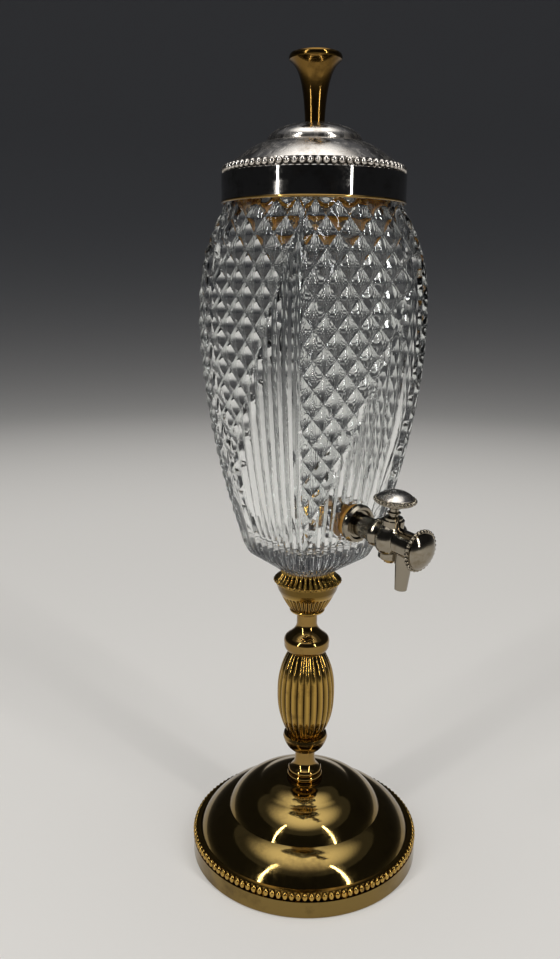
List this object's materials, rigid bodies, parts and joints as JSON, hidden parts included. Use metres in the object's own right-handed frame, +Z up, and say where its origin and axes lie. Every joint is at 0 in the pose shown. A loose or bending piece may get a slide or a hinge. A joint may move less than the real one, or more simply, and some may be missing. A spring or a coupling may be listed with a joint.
{
  "type": "absinthe fountain",
  "caption": "Tabletop absinthe fountain: a pressed-glass water reservoir on a turned brass pedestal, with a lift-off domed lid and a quarter-turn tap.",
  "frame": {"origin": "under the middle of the foot ring, on the surface it stands on", "axes": "+Z up through the lid's knob; the tap points along -Y; the four glass faces look along X and Y"},
  "size_m": [0.1196, 0.1382, 0.3971],
  "materials": {
    "aged_brass": "polished, darkened with age",
    "polished_brass": "polished",
    "gold_brass": "bright lacquered",
    "dark_brass": "polished, dark",
    "cast_weight": "as cast",
    "plain_steel": "turned",
    "cement": "poured resin cement",
    "pressed_glass": "fire polished",
    "silver_plate": "mirror plated",
    "nickel_plate": "warm nickel plate",
    "amber_rubber": "soft, clear amber",
    "pale_rubber": "soft"
  },
  "bodies": {
    "stand": {"foot_ring": "aged_brass", "base_dome": "aged_brass", "base_bead_ring": "polished_brass", "stem_foot": "polished_brass", "stem_cup": "polished_brass", "stem_bell": "polished_brass", "bowl_ring": "polished_brass", "fluted_bowl": "polished_brass", "glass_crown": "polished_brass", "collar_lip": "polished_brass", "tap_lock_nut": "polished_brass", "stem_barrel": "gold_brass", "base_weight": "cast_weight", "tie_rod": "plain_steel", "rod_washers": "plain_steel", "rod_nuts": "plain_steel", "peg_cement": "cement", "collar_cement": "cement", "glass_reservoir": "pressed_glass", "collar_band": "silver_plate", "tap_flange": "nickel_plate", "tap_body": "nickel_plate", "tap_spout": "nickel_plate", "nose_disc": "nickel_plate", "nose_bead_rim": "nickel_plate", "nose_cap": "nickel_plate", "tap_gasket": "amber_rubber", "tap_inner_gasket": "amber_rubber", "rim_gasket": "pale_rubber"},
    "lid": {"lid_skirt": "polished_brass", "lid_bead_ring": "silver_plate", "lid_dome": "silver_plate", "lid_knob": "dark_brass", "knob_washer": "polished_brass", "knob_screw": "plain_steel"},
    "tap_key": {"tap_plug": "nickel_plate", "plug_washer": "polished_brass", "plug_screw": "polished_brass", "handle_disc": "nickel_plate", "handle_bead_rim": "nickel_plate", "handle_cap": "silver_plate"}
  },
  "joints": [
    {"name": "lid_lift", "type": "slide", "parent": "stand", "child": "lid", "axis": [0, 0, 1], "range_m": [0, 0.08]},
    {"name": "tap_turn", "type": "hinge", "parent": "stand", "child": "tap_key", "pos_m": [0, -0.05672, 0.18634], "axis": [0, -0.0872, 0.9962], "range_deg": [0, 90]}
  ]
}
